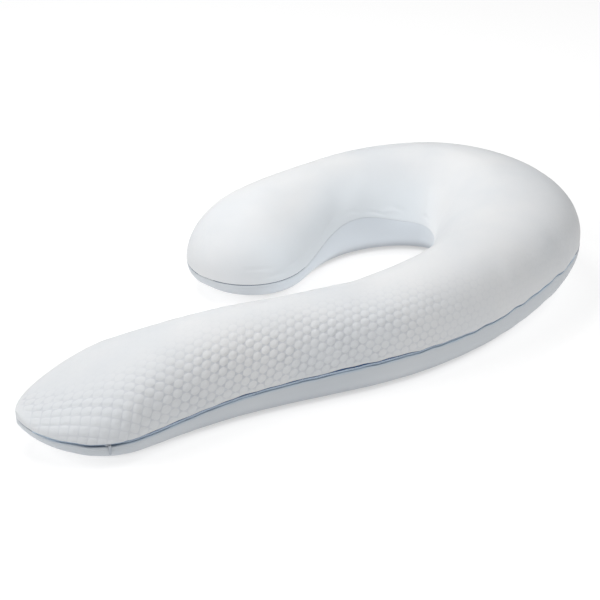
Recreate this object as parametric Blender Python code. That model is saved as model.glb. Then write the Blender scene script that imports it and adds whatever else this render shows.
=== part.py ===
"""Hooked body pillow: one filled body with a drawn-in side seam, and the zip in its outer seam.

Metres, +Z up. The origin is on the surface the pillow rests on, under the middle of its bounding
box; +X runs from the tail end to the bend, along the longest side.
"""
import math

import bmesh
import bpy
import numpy as np
from mathutils import Matrix

# One row per section, from the tail tip round the bend to the hook tip. The filling runs along
# x, y; the outer half is the side away from the hook's inner space.
COLUMNS = ("x", "y", "outer_half", "inner_half", "crown", "outer_seam", "inner_seam")
ROWS = (
    (-0.690, -0.208, 0.168, 0.155, 0.095, 0.065, 0.065),   # tail tip
    (-0.519, -0.223, 0.152, 0.138, 0.152, 0.062, 0.057),
    (-0.342, -0.242, 0.111, 0.119, 0.189, 0.071, 0.058),
    (-0.156, -0.259, 0.101, 0.105, 0.197, 0.080, 0.061),   # narrowest part of the tail
    (0.036, -0.270, 0.110, 0.112, 0.200, 0.087, 0.067),
    (0.229, -0.240, 0.117, 0.120, 0.212, 0.090, 0.071),
    (0.400, -0.154, 0.145, 0.149, 0.221, 0.106, 0.076),
    (0.503, -0.003, 0.185, 0.145, 0.239, 0.098, 0.080),    # middle of the bend
    (0.477, 0.161, 0.147, 0.120, 0.240, 0.095, 0.088),
    (0.334, 0.254, 0.120, 0.121, 0.229, 0.088, 0.103),
    (0.158, 0.249, 0.124, 0.119, 0.218, 0.082, 0.120),
    (-0.007, 0.203, 0.138, 0.153, 0.208, 0.073, 0.076),
    (-0.166, 0.143, 0.153, 0.161, 0.181, 0.060, 0.060),    # hook tip
)

# How the body is rounded.
TAIL_ROUNDING = 0.197      # length over which the tail end closes
TAIL_POWER = 1.73          # 2 is an ellipse in plan, less is more pointed
HOOK_ROUNDING = 0.186
HOOK_POWER = 2.13
CROWN_POWER = 2.05         # 2 is an ellipse in section, more is fuller
FLAT_SHARE = 0.31          # part of each half width that lies flat on the surface
END_SHARE = 0.07           # width of the last section at each tip, of the full section
NOSE_HALF = 0.014          # half the thickness of the body at its tips
RING_STEP = 0.022          # distance between sections along the filling
END_RINGS = 12             # sections that close each end
UPPER_STEPS = 9            # faces from the crown to the seam
LOWER_STEPS = 6            # faces from the seam to the flat underside

# The seam channel that draws in the side, and holds the zip.
CHANNEL_HALF = 0.0046      # half its height
CHANNEL_DEPTH = 0.0050
LIP_RADIUS = 0.0030        # rounding of the two fabric edges beside it

# The zip, in the channel of the outer seam. "Out" is measured from the channel's floor.
ZIP_START = 0.017          # along the filling, near the tail tip
ZIP_END = 1.182            # where the bend begins to turn back
TAPE_OUT = (0.0004, 0.0011)
TAPE_UP = (0.0003, 0.0042)   # the lower tape is its mirror below the seam
COIL_OUT = (0.0015, 0.0030)
COIL_HALF = 0.0023
SLIDER_AT = 0.1365         # along the filling
SLIDER_LENGTH = 0.0100
SLIDER_OUT = (0.0019, 0.0034, 0.0044)   # flange edge, back and front of the face plate
SLIDER_HALF = (0.0027, 0.0036)          # inner and outer half height of the flanges
BRIDGE_REACH = 0.0025      # half the span of the bridge along the zip
BRIDGE_OUT = 0.0069
BRIDGE_RADIUS = 0.0005
PULL_OUT = 0.0056          # middle of the tab where it hangs on the bridge
PULL_EYE = (0.0014, 0.0026)  # inner and outer radius of its eye
PULL_LENGTH = 0.0190       # from the eye's centre to the tip
PULL_WIDTH = 0.0046
PULL_THICKNESS = 0.0009
PULL_TILT = math.radians(9)  # the tab leans outward over the fabric lip

COVER = ("pillow_cover", (0.84, 0.87, 0.91, 1.0), 0.85, 0.0)
TAPE = ("zip_tape", (0.24, 0.36, 0.47, 1.0), 0.80, 0.0)
COIL = ("zip_coil", (0.13, 0.21, 0.30, 1.0), 0.50, 0.0)
METAL = ("zip_metal", (0.75, 0.77, 0.80, 1.0), 0.30, 1.0)


def natural_cubic(knots, values, at, slope=False):
    """The natural cubic spline through one value or point per knot, or its slope."""
    knots, values, at = (np.asarray(v, float) for v in (knots, values, at))
    count, step = len(knots), np.diff(knots)
    system = np.eye(count)
    right = np.zeros_like(values)
    for i in range(1, count - 1):
        system[i, i - 1:i + 2] = step[i - 1], 2 * (step[i - 1] + step[i]), step[i]
        right[i] = 6 * ((values[i + 1] - values[i]) / step[i]
                        - (values[i] - values[i - 1]) / step[i - 1])
    second = np.linalg.solve(system, right)
    i = np.clip(np.searchsorted(knots, at) - 1, 0, count - 2)
    h = step[i][:, None]
    a = (knots[i + 1] - at)[:, None] / h
    b = 1 - a
    if slope:
        return ((values[i + 1] - values[i]) / h
                + ((3 * b * b - 1) * second[i + 1] - (3 * a * a - 1) * second[i]) * h / 6)
    return (a * values[i] + b * values[i + 1]
            + ((a ** 3 - a) * second[i] + (b ** 3 - b) * second[i + 1]) * h * h / 6)


def end_stations(rounding, power):
    """Distances from a tip, and section sizes, that step evenly round a rounded end."""
    first = math.asin(END_SHARE ** (power / 2))
    turn = np.linspace(first, math.pi / 2, END_RINGS, endpoint=False)
    return rounding * (1 - np.cos(turn) ** (2 / power)), np.sin(turn) ** (2 / power)


def stations():
    """Every section's place along the filling and its size, 1 away from the ends."""
    table = np.array(ROWS)
    reach = np.r_[0, np.cumsum(np.linalg.norm(np.diff(table[:, :2], axis=0), axis=1))]
    tail_at, tail_size = end_stations(TAIL_ROUNDING, TAIL_POWER)
    hook_at, hook_size = end_stations(HOOK_ROUNDING, HOOK_POWER)
    length = reach[-1]
    between = length - TAIL_ROUNDING - HOOK_ROUNDING
    middle = np.linspace(TAIL_ROUNDING, length - HOOK_ROUNDING, round(between / RING_STEP) + 1)
    along = np.r_[tail_at, middle, (length - hook_at)[::-1]]
    size = np.r_[tail_size, np.ones(len(middle)), hook_size[::-1]]
    column = dict(zip(COLUMNS, natural_cubic(reach, table, along).T))
    heading = natural_cubic(reach, table[:, :2], along, slope=True)
    heading /= np.linalg.norm(heading, axis=1)[:, None]
    column["along"], column["size"] = along, size
    column["centre"] = np.c_[column["x"], column["y"]]
    column["outward"] = np.c_[heading[:, 1], -heading[:, 0]]
    return column


def seam_lines(s):
    """Plan points of the outer and inner seam and the direction each faces, tip to tip."""
    size = s["size"][:, None]
    outer = s["centre"] + s["outward"] * s["outer_half"][:, None] * size
    inner = s["centre"] - s["outward"] * s["inner_half"][:, None] * size
    loop = np.concatenate([outer, inner[::-1]])
    run = np.roll(loop, -1, axis=0) - np.roll(loop, 1, axis=0)
    facing = np.c_[run[:, 1], -run[:, 0]] / np.linalg.norm(run, axis=1)[:, None]
    count = len(outer)
    return (outer, facing[:count]), (inner, facing[count:][::-1])


def half_section(s, half, seam, line, facing, side):
    """One side of every section, from the crown round the seam channel to the underside.

    Upper curve: out = w cos(t)^(2/p), up = lip + (crown - lip) sin(t)^(2/p). Lower curve: a
    quarter ellipse from the seam down to the edge of the flat. side is +1 or -1.
    """
    size = s["size"]
    mean_seam = (s["outer_seam"] + s["inner_seam"]) / 2
    nose = NOSE_HALF ** 2 * (1 - size ** 2)
    crown = mean_seam + np.sqrt(((s["crown"] - mean_seam) * size) ** 2 + nose)
    belly = mean_seam - np.sqrt((mean_seam * size) ** 2 + nose)
    width = half * size
    upper_lip = seam + CHANNEL_HALF + LIP_RADIUS
    lower_lip = seam - CHANNEL_HALF - LIP_RADIUS

    def across(out, up):
        return np.column_stack([s["centre"] + s["outward"] * (side * out)[:, None], up])

    def inset(depth, up):
        return np.column_stack([line - facing * depth, up])

    points = []
    for t in np.linspace(math.pi / 2, 0, UPPER_STEPS + 1)[1:]:
        points.append(across(width * math.cos(t) ** (2 / CROWN_POWER),
                             upper_lip + (crown - upper_lip) * math.sin(t) ** (2 / CROWN_POWER)))
    corner = LIP_RADIUS * (1 - math.sqrt(0.5))
    points.append(inset(corner, upper_lip - LIP_RADIUS + corner))
    points.append(inset(LIP_RADIUS, seam + CHANNEL_HALF))
    points.append(inset(CHANNEL_DEPTH, seam + CHANNEL_HALF))
    points.append(inset(CHANNEL_DEPTH, seam - CHANNEL_HALF))
    points.append(inset(LIP_RADIUS, seam - CHANNEL_HALF))
    points.append(inset(corner, lower_lip + LIP_RADIUS - corner))
    for t in np.linspace(0, math.pi / 2, LOWER_STEPS + 1):
        points.append(across(width * (FLAT_SHARE + (1 - FLAT_SHARE) * math.cos(t)),
                             lower_lip - (lower_lip - belly) * math.sin(t)))
    points.append(across(width * FLAT_SHARE / 2, belly))
    top = np.column_stack([s["centre"], crown])
    bottom = np.column_stack([s["centre"], belly])
    return top, np.stack(points, axis=1), bottom


def build_body(s, lines):
    """The filled body: rings lofted along the filling, each tip closed side to side."""
    (outer, outer_facing), (inner, inner_facing) = lines
    top, right, bottom = half_section(s, s["outer_half"], s["outer_seam"], outer, outer_facing, 1)
    _, left, _ = half_section(s, s["inner_half"], s["inner_seam"], inner, inner_facing, -1)
    rings = np.concatenate([top[:, None], right, bottom[:, None], left[:, ::-1]], axis=1)
    count, around = rings.shape[:2]
    faces = []
    for i in range(count - 1):
        for j in range(around):
            k = (j + 1) % around
            faces.append((i * around + j, (i + 1) * around + j, (i + 1) * around + k, i * around + k))
    side = right.shape[1]
    for base, turn in ((0, 1), ((count - 1) * around, -1)):
        pairs = [(base + j, base + (around - j) % around) for j in range(side + 2)]
        for (a, b), (c, d) in zip(pairs, pairs[1:]):
            corners = list(dict.fromkeys((b, a, c, d)))
            faces.append(tuple(corners[::turn]))
    return add_mesh("pillow_body", rings.reshape(-1, 3), faces, COVER)


def zip_rings(s, lines, profile):
    """A closed profile of (out, up) points carried along the channel of the outer seam."""
    (line, facing), _ = lines
    first = int(np.argmin(abs(s["along"] - ZIP_START)))
    last = int(np.argmin(abs(s["along"] - ZIP_END)))
    rings = []
    for i in range(first, last + 1):
        floor = line[i] - facing[i] * CHANNEL_DEPTH
        rings.append([(*(floor + facing[i] * out), s["outer_seam"][i] + up) for out, up in profile])
    return np.array(rings)


def build_strip(name, s, lines, profile, finish):
    """One strip of the zip: the rings joined, with a flat end at each end."""
    rings = zip_rings(s, lines, profile)
    count, around = rings.shape[:2]
    faces = [tuple(range(around)), tuple(reversed(range((count - 1) * around, count * around)))]
    for i in range(count - 1):
        for j in range(around):
            k = (j + 1) % around
            faces.append((i * around + j, (i + 1) * around + j, (i + 1) * around + k, i * around + k))
    return add_mesh(name, rings.reshape(-1, 3), faces, finish)


def slider_frame(s, lines):
    """Origin and axes at the slider: along the zip, out of the channel, up."""
    (line, facing), _ = lines
    after = int(np.searchsorted(s["along"], SLIDER_AT))
    share = (SLIDER_AT - s["along"][after - 1]) / (s["along"][after] - s["along"][after - 1])
    floor = line - facing * CHANNEL_DEPTH
    start, end = (np.r_[floor[i], s["outer_seam"][i]] for i in (after - 1, after))
    along = (end - start) / np.linalg.norm(end - start)
    out = np.cross(along, (0, 0, 1))
    out /= np.linalg.norm(out)
    up = np.cross(out, along)
    return start + (end - start) * share, along, out, up


def placed(origin, x_axis, y_axis, z_axis):
    """A placement matrix from an origin and three axes."""
    rows = np.eye(4)
    rows[:3, 0], rows[:3, 1], rows[:3, 2], rows[:3, 3] = x_axis, y_axis, z_axis, origin
    return Matrix(rows.tolist())


def build_slider(frame):
    """A folded channel that wraps the coil, with the bridge the pull hangs on."""
    origin, along, out, up = frame
    edge, back, front = SLIDER_OUT
    inside, outside = SLIDER_HALF
    profile = [(edge, outside), (front - 0.0008, outside), (front, outside - 0.0008),
               (front, -outside + 0.0008), (front - 0.0008, -outside), (edge, -outside),
               (edge, -inside), (back, -inside), (back, inside), (edge, inside)]
    body = add_outline("zip_slider", [profile], SLIDER_LENGTH / 2, METAL, PARTS)
    body.matrix_world = placed(origin, out, up, np.cross(out, up))
    arch = []
    for turn in np.linspace(-math.pi / 2, math.pi / 2, 9):
        span = math.copysign(abs(math.sin(turn)) ** 0.6, turn) * BRIDGE_REACH
        rise = math.cos(turn) ** 0.6 if abs(turn) < 1.57 else 0.0
        foot = front - 0.0005
        arch.append(origin + along * span + out * (foot + (BRIDGE_OUT - foot) * rise))
    bridge = add_bar("slider_bridge", arch, BRIDGE_RADIUS, METAL, CUTTERS)
    union = body.modifiers.new("bridge", "BOOLEAN")
    union.operation = "UNION"
    union.solver = "EXACT"
    union.object = bridge


def build_pull(frame):
    """The tab: an eye round one leg of the bridge, and a narrow rounded strip below it."""
    origin, along, out, up = frame
    hole, rim = PULL_EYE
    half = PULL_WIDTH / 2
    start = math.asin(half / rim)
    outline = []
    for turn in np.linspace(-math.pi / 2 + start, 3 * math.pi / 2 - start, 17):
        outline.append((rim * math.cos(turn), rim * math.sin(turn)))
    for turn in np.linspace(math.pi, 2 * math.pi, 9):
        outline.append((half * math.cos(turn), -PULL_LENGTH + half + half * math.sin(turn)))
    eye = [(hole * math.cos(t), hole * math.sin(t)) for t in np.linspace(2 * math.pi, 0, 13)[:-1]]
    tab = add_outline("zip_pull", [outline, eye], PULL_THICKNESS / 2, METAL, PARTS)
    hang = up * math.cos(PULL_TILT) - out * math.sin(PULL_TILT)
    face = np.cross(along, hang)
    place = origin + along * BRIDGE_REACH + out * PULL_OUT
    tab.matrix_world = placed(place, along, hang, face)


def material(finish):
    name, colour, roughness, metallic = finish
    made = bpy.data.materials.get(name) or bpy.data.materials.new(name)
    made.use_nodes = True
    shader = made.node_tree.nodes["Principled BSDF"]
    shader.inputs["Base Color"].default_value = colour
    shader.inputs["Roughness"].default_value = roughness
    shader.inputs["Metallic"].default_value = metallic
    made.diffuse_color = colour
    return made


def add_mesh(name, points, faces, finish):
    """A mesh object with its faces turned outward."""
    data = bpy.data.meshes.new(name)
    data.from_pydata([tuple(map(float, p)) for p in points], [], faces)
    shape = bmesh.new()
    shape.from_mesh(data)
    bmesh.ops.recalc_face_normals(shape, faces=shape.faces)
    shape.to_mesh(data)
    shape.free()
    data.materials.append(material(finish))
    made = bpy.data.objects.new(name, data)
    PARTS.objects.link(made)
    return made


def add_outline(name, outlines, half_thickness, finish, where):
    """A flat outline, with any holes, thickened evenly to both sides."""
    curve = bpy.data.curves.new(name, "CURVE")
    curve.dimensions = "2D"
    curve.fill_mode = "BOTH"
    curve.extrude = half_thickness
    for outline in outlines:
        line = curve.splines.new("POLY")
        line.points.add(len(outline) - 1)
        for point, (x, y) in zip(line.points, outline):
            point.co = (x, y, 0.0, 1.0)
        line.use_cyclic_u = True
    return solid_from(curve, finish, where)


def add_bar(name, points, radius, finish, where):
    """A round bar along a line of points, closed at both ends."""
    curve = bpy.data.curves.new(name, "CURVE")
    curve.dimensions = "3D"
    curve.bevel_depth = radius
    curve.bevel_resolution = 2
    curve.use_fill_caps = True
    line = curve.splines.new("POLY")
    line.points.add(len(points) - 1)
    for point, place in zip(line.points, points):
        point.co = (*map(float, place), 1.0)
    return solid_from(curve, finish, where)


def solid_from(curve, finish, where):
    """A mesh object from a curve, welded where its faces meet and turned outward."""
    drawn = bpy.data.objects.new(curve.name, curve)
    bpy.context.scene.collection.objects.link(drawn)
    graph = bpy.context.evaluated_depsgraph_get()
    data = bpy.data.meshes.new_from_object(drawn.evaluated_get(graph))
    name = drawn.name
    bpy.data.objects.remove(drawn, do_unlink=True)
    shape = bmesh.new()
    shape.from_mesh(data)
    bmesh.ops.remove_doubles(shape, verts=shape.verts, dist=0.00001)
    bmesh.ops.recalc_face_normals(shape, faces=shape.faces)
    shape.to_mesh(data)
    shape.free()
    data.materials.clear()
    data.materials.append(material(finish))
    made = bpy.data.objects.new(name, data)
    where.objects.link(made)
    return made


for old in list(bpy.data.objects):
    bpy.data.objects.remove(old, do_unlink=True)
PARTS = bpy.data.collections.new("body_pillow")
CUTTERS = bpy.data.collections.new("cutters")
bpy.context.scene.collection.children.link(PARTS)
bpy.context.scene.collection.children.link(CUTTERS)
CUTTERS.hide_render = True

sections = stations()
seams = seam_lines(sections)
build_body(sections, seams)

tape_in, tape_out = TAPE_OUT
tape_low, tape_high = TAPE_UP
upper_profile = [(tape_in, tape_low), (tape_out, tape_low), (tape_out, tape_high), (tape_in, tape_high)]
lower_profile = [(out, -up) for out, up in upper_profile]
build_strip("zip_tape_upper", sections, seams, upper_profile, TAPE)
build_strip("zip_tape_lower", sections, seams, lower_profile, TAPE)

coil_in, coil_out = COIL_OUT
coil_middle, coil_round = (coil_in + coil_out) / 2, (coil_out - coil_in) / 2
coil_profile = []
for centre, start in ((COIL_HALF - coil_round, 0), (-COIL_HALF + coil_round, math.pi)):
    for turn in np.linspace(start, start + math.pi, 5):
        coil_profile.append((coil_middle + coil_round * math.cos(turn),
                             centre + coil_round * math.sin(turn)))
build_strip("zip_coil", sections, seams, coil_profile, COIL)

slider_place = slider_frame(sections, seams)
build_slider(slider_place)
build_pull(slider_place)
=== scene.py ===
"""Hooked body pillow: one filled body in a quilted knit cover, zipped along its outer seam.

Metres, +Z up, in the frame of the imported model. x runs from the tail end to the bend.
"""
import math

import bpy
import numpy as np
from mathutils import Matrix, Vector


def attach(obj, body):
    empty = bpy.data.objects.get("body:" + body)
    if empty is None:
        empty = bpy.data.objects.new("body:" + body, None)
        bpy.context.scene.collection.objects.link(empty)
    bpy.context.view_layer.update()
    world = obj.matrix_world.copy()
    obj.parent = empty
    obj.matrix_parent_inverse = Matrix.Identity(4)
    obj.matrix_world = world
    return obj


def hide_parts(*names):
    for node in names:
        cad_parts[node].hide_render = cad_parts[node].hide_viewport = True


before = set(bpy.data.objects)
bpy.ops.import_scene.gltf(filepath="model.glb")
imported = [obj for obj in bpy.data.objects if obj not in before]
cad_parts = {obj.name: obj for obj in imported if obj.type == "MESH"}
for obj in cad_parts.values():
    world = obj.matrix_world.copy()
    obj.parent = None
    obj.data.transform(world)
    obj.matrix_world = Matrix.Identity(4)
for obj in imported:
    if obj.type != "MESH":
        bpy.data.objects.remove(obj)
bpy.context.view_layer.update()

# --------------------------------------------------
# Camera. A long lens about 2.7 m away, on the outer side of the tail and 29 degrees up.
# --------------------------------------------------
CAMERA_PLACE = (-1.08145, -2.11942, 1.35465)
CAMERA_AIM = (0.02464, 0.05140, 0.0)
LENS_MM = 74.56
SENSOR_MM = 36.0


def placed(name, data):
    """An object made of a mesh, a lamp or a camera, linked into the scene."""
    made = bpy.data.objects.new(name, data)
    bpy.context.scene.collection.objects.link(made)
    return made


camera = placed("camera", bpy.data.cameras.new("camera"))
camera.data.sensor_width = SENSOR_MM
camera.data.lens = LENS_MM
camera.location = CAMERA_PLACE
view = Vector(CAMERA_AIM) - Vector(CAMERA_PLACE)
camera.rotation_euler = view.to_track_quat("-Z", "Y").to_euler()
bpy.context.scene.camera = camera

# --------------------------------------------------
# Filling. Loose polyester fibre, blown into the closed cover until it stands up round. It
# doesn't show, but it sets the form that the two panels and the zip lie on: a J in plan,
# with a domed top, drawn-in sides and a flat underside.
# --------------------------------------------------
COLUMNS = ("x", "y", "outer_half", "inner_half", "crown", "outer_seam", "inner_seam")
ROWS = (
    (-0.690, -0.208, 0.168, 0.155, 0.095, 0.065, 0.065),   # tail tip
    (-0.519, -0.223, 0.152, 0.138, 0.152, 0.062, 0.057),
    (-0.342, -0.242, 0.111, 0.119, 0.189, 0.071, 0.058),
    (-0.156, -0.259, 0.101, 0.105, 0.197, 0.080, 0.061),   # narrowest part of the tail
    (0.036, -0.270, 0.110, 0.112, 0.200, 0.087, 0.067),
    (0.229, -0.240, 0.117, 0.120, 0.212, 0.090, 0.071),
    (0.400, -0.154, 0.145, 0.149, 0.221, 0.106, 0.076),
    (0.503, -0.003, 0.185, 0.145, 0.239, 0.098, 0.080),    # middle of the bend
    (0.477, 0.161, 0.147, 0.120, 0.240, 0.095, 0.088),
    (0.334, 0.254, 0.120, 0.121, 0.229, 0.088, 0.103),
    (0.158, 0.249, 0.124, 0.119, 0.218, 0.082, 0.120),
    (-0.007, 0.203, 0.138, 0.153, 0.208, 0.073, 0.076),
    (-0.166, 0.143, 0.153, 0.161, 0.181, 0.060, 0.060),    # hook tip
)
TAIL_ROUNDING = 0.197      # length over which the tail end closes
TAIL_POWER = 1.73          # 2 is an ellipse in plan, less is more pointed
HOOK_ROUNDING = 0.186
HOOK_POWER = 2.13
CROWN_POWER = 2.05         # 2 is an ellipse in section, more is fuller
FLAT_SHARE = 0.31          # part of each half width that lies flat
NOSE_HALF = 0.014          # half the thickness at the tips
BEND_ENTRY = (1.1, 1.3)    # distances along, between which the bend is entered
PLACE_TABLE = 2001         # distances looked up to space the sections
# Added to CROWN_POWER at distances along the filling, on the outer side (1) and the inner (-1).
FULLER = {1: ((0.0, 0.55), (0.25, 0.50), (0.45, 0.25), (1.30, 0.18), (1.60, 0.0)),
          -1: ((1.15, 0.0), (1.40, -0.30), (2.00, -0.30), (2.15, 0.0))}


def natural_cubic(knots, values, at, slope=False):
    """The natural cubic spline through one row of values per knot, or its slope.

    With a and b the shares of the two nearest knots, h their distance and s'' the solved second
    slopes: value = a v0 + b v1 + ((a^3 - a) s0'' + (b^3 - b) s1'') h^2 / 6.
    """
    count, step = len(knots), np.diff(knots)
    system, right = np.eye(count), np.zeros_like(values)
    inner = np.arange(1, count - 1)
    system[inner, inner - 1] = step[:-1]
    system[inner, inner] = 2 * (step[:-1] + step[1:])
    system[inner, inner + 1] = step[1:]
    chord = np.diff(values, axis=0) / step[:, None]
    right[1:-1] = 6 * np.diff(chord, axis=0)
    second = np.linalg.solve(system, right)
    i = np.clip(np.searchsorted(knots, at) - 1, 0, count - 2)
    h = step[i][:, None]
    a = (knots[i + 1] - at)[:, None] / h
    b = 1 - a
    if slope:
        return chord[i] + ((3 * b * b - 1) * second[i + 1] - (3 * a * a - 1) * second[i]) * h / 6
    return (a * values[i] + b * values[i + 1]
            + ((a ** 3 - a) * second[i] + (b ** 3 - b) * second[i + 1]) * h * h / 6)


TABLE = np.array(ROWS)
REACH = np.r_[0, np.cumsum(np.linalg.norm(np.diff(TABLE[:, :2], axis=0), axis=1))]
LENGTH = REACH[-1]


def sections(along):
    """The form's measures at distances along the filling, from the splines through the table.

    Each end closes as a superellipse in plan: size^p + (1 - distance / rounding)^p = 1.
    """
    s = dict(zip(COLUMNS, natural_cubic(REACH, TABLE, along).T))
    heading = natural_cubic(REACH, TABLE[:, :2], along, slope=True)
    heading /= np.linalg.norm(heading, axis=1)[:, None]
    tail = np.clip(along / TAIL_ROUNDING, 0, 1)
    hook = np.clip((LENGTH - along) / HOOK_ROUNDING, 0, 1)
    s["size"] = ((1 - (1 - tail) ** TAIL_POWER) ** (1 / TAIL_POWER)
                 * (1 - (1 - hook) ** HOOK_POWER) ** (1 / HOOK_POWER))
    s["along"] = along
    s["centre"] = np.c_[s["x"], s["y"]]
    s["outward"] = np.c_[heading[:, 1], -heading[:, 0]]
    s["bend"] = np.gradient(np.unwrap(np.arctan2(heading[:, 1], heading[:, 0])), along)
    mean_seam = (s["outer_seam"] + s["inner_seam"]) / 2
    nose = NOSE_HALF ** 2 * (1 - s["size"] ** 2)
    s["top"] = mean_seam + np.sqrt(((s["crown"] - mean_seam) * s["size"]) ** 2 + nose)
    s["belly"] = mean_seam - np.sqrt((mean_seam * s["size"]) ** 2 + nose)
    s["half"] = {1: s["outer_half"] * s["size"], -1: s["inner_half"] * s["size"]}
    outer = s["centre"] + s["outward"] * s["half"][1][:, None]
    inner = s["centre"] - s["outward"] * s["half"][-1][:, None]
    loop = np.concatenate([outer, inner[-2:0:-1]])
    run = np.roll(loop, -1, axis=0) - np.roll(loop, 1, axis=0)
    facing = np.c_[run[:, 1], -run[:, 0]] / np.linalg.norm(run, axis=1)[:, None]
    count = len(along)
    s["line"] = {1: outer, -1: inner}
    s["facing"] = {1: facing[:count], -1: np.r_[facing[:1], facing[:count - 2:-1]]}
    return s


def places_along(gaps, end_count):
    """Distances along the filling, with one gap on the tail and one past the bend's entry.

    Over an end they are rounding (1 - cos(t)^(2/p)), which spaces them evenly on the outline.
    """
    turn = np.linspace(0, math.pi / 2, end_count, endpoint=False)
    tail = TAIL_ROUNDING * (1 - np.cos(turn) ** (2 / TAIL_POWER))
    hook = HOOK_ROUNDING * (1 - np.cos(turn) ** (2 / HOOK_POWER))
    fine = np.linspace(TAIL_ROUNDING, LENGTH - HOOK_ROUNDING, PLACE_TABLE)
    count = np.r_[0, np.cumsum(np.diff(fine) / np.interp(fine[1:], BEND_ENTRY, gaps))]
    middle = np.interp(np.linspace(0, count[-1], round(count[-1]) + 1), count, fine)
    return np.r_[tail, middle, (LENGTH - hook)[::-1]]


# --------------------------------------------------
# Stuffed cover. Two panels are sewn together along an outer and an inner seam and blown full
# of fibre, which makes the cloth swell between the seams and pucker beside them. A coarse
# closed cover is simulated for that, held at its seams and under the flat.
# --------------------------------------------------
UPPER_STEPS = 62           # points from crown to seam
LOWER_STEPS = 26           # points from the seam to the edge of the flat
FLAT_STEPS = 5             # and from there to the middle
LIP_STEPS = 4              # points round the folded edge
SEAM_CROWDING = 0.75       # first gap between points next to a seam, against the mean one
TURN_TABLE = 200           # angles looked up to space them
# Along the inner seam the edges meet: their gaps, and how round they are at distances along.
INNER_SEAM = dict(upper_gap=0.0002, lower_gap=0.0002, overhang=0.0)
INNER_LIP = ((1.20, 0.0018), (1.40, 0.0005), (1.95, 0.0005), (2.00, 0.0022))
INNER_DEPTH = 1.1          # how deep they go, against how round they are
# Along the outer seam: how far each fabric edge stands off the middle of the zip, how round
# the edge is, how deep the zip sits, how far the upper edge hangs over it, and how much the
# height of the seam wavers.
SEAM_COLUMNS = ("along", "upper_gap", "lower_gap", "lip", "depth", "overhang", "waver")
OUTER_SEAM = (
    (0.000, 0.0004, 0.0004, 0.0022, 0.0030, 0.0004, 0.0),
    (0.014, 0.0006, 0.0006, 0.0022, 0.0045, 0.0006, 0.0),
    (0.030, 0.0018, 0.0026, 0.0026, 0.0055, 0.0018, 0.0002),   # the zip begins
    (0.080, 0.0030, 0.0044, 0.0030, 0.0075, 0.0030, 0.0004),
    (0.160, 0.0030, 0.0044, 0.0030, 0.0075, 0.0030, 0.0004),
    (0.230, 0.0032, 0.0034, 0.0026, 0.0050, 0.0008, 0.0003),
    (0.600, 0.0034, 0.0034, 0.0026, 0.0050, 0.0004, 0.0005),
    (0.700, 0.0032, 0.0033, 0.0026, 0.0050, 0.0004, 0.0006),
    (0.800, 0.0026, 0.0030, 0.0028, 0.0066, 0.0020, 0.0010),
    (0.900, 0.0022, 0.0028, 0.0028, 0.0068, 0.0022, 0.0016),
    (1.150, 0.0020, 0.0024, 0.0026, 0.0066, 0.0020, 0.0024),
    (1.190, 0.0005, 0.0005, 0.0022, 0.0040, 0.0005, 0.0020),   # the zip ends
    (1.300, 0.0004, 0.0004, 0.0022, 0.0030, 0.0004, 0.0010),
    (2.200, 0.0004, 0.0004, 0.0022, 0.0030, 0.0004, 0.0003),
)
# Waves as length, share and phase: the seam's rise and fall, and how loosely the edges lie.
WAVER = ((0.064, 0.6, 0.4), (0.041, 0.5, 2.1), (0.093, 0.4, 4.0))
LOOSE = ((0.11, 0.14, 1.0), (0.047, 0.10, 0.3), (0.21, 0.12, 5.0))


def ripple(distance, waves):
    """A sum of sine waves, each given as its length, share and phase."""
    return sum(share * np.sin(2 * math.pi * distance / wave + phase)
               for wave, share, phase in waves)


def seam_edges(s, side):
    """The measures of the two fabric edges beside one seam, and the seam's wavering height."""
    seam = np.array(s["outer_seam"] if side > 0 else s["inner_seam"])
    if side < 0:
        edge = {name: np.full(len(seam), value) for name, value in INNER_SEAM.items()}
        lip = np.interp(s["along"], *np.array(INNER_LIP).T)
        return edge | {"seam": seam, "lip": lip, "depth": lip * INNER_DEPTH}
    table = np.array(OUTER_SEAM)
    edge = {name: np.interp(s["along"], table[:, 0], column)
            for name, column in zip(SEAM_COLUMNS[1:], table[:, 1:].T)}
    edge["seam"] = seam + edge["waver"] * ripple(s["along"], WAVER)
    loose = ripple(s["along"], LOOSE)
    edge["upper_gap"] = edge["upper_gap"] * (1 - loose)
    edge["lower_gap"] = edge["lower_gap"] * (1 + loose)
    return edge


def even_turns(wide, tall, power, count):
    """Angles that space points over quarter ellipses, a row per section.

    At the share k of the points the share of the run is k (c + (1 - c) k), closer near the seam.
    """
    fine = np.linspace(0, math.pi / 2, TURN_TABLE + 1)
    out, up = np.cos(fine) ** power * wide[:, None], np.sin(fine) ** power * tall[:, None]
    run = np.cumsum(np.hypot(np.diff(out, axis=1), np.diff(up, axis=1)), axis=1)
    run = np.c_[np.zeros(len(run)), run] / np.maximum(run[:, -1:], 1e-9)
    want = np.linspace(0, 1, count)
    want *= SEAM_CROWDING + (1 - SEAM_CROWDING) * want
    at = (run[:, None, :] < want[None, :, None]).sum(2).clip(1, TURN_TABLE)
    low, high = np.take_along_axis(run, at - 1, 1), np.take_along_axis(run, at, 1)
    share = ((want - low) / np.maximum(high - low, 1e-12)).clip(0, 1)
    return fine[at - 1] + (fine[at] - fine[at - 1]) * share


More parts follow.
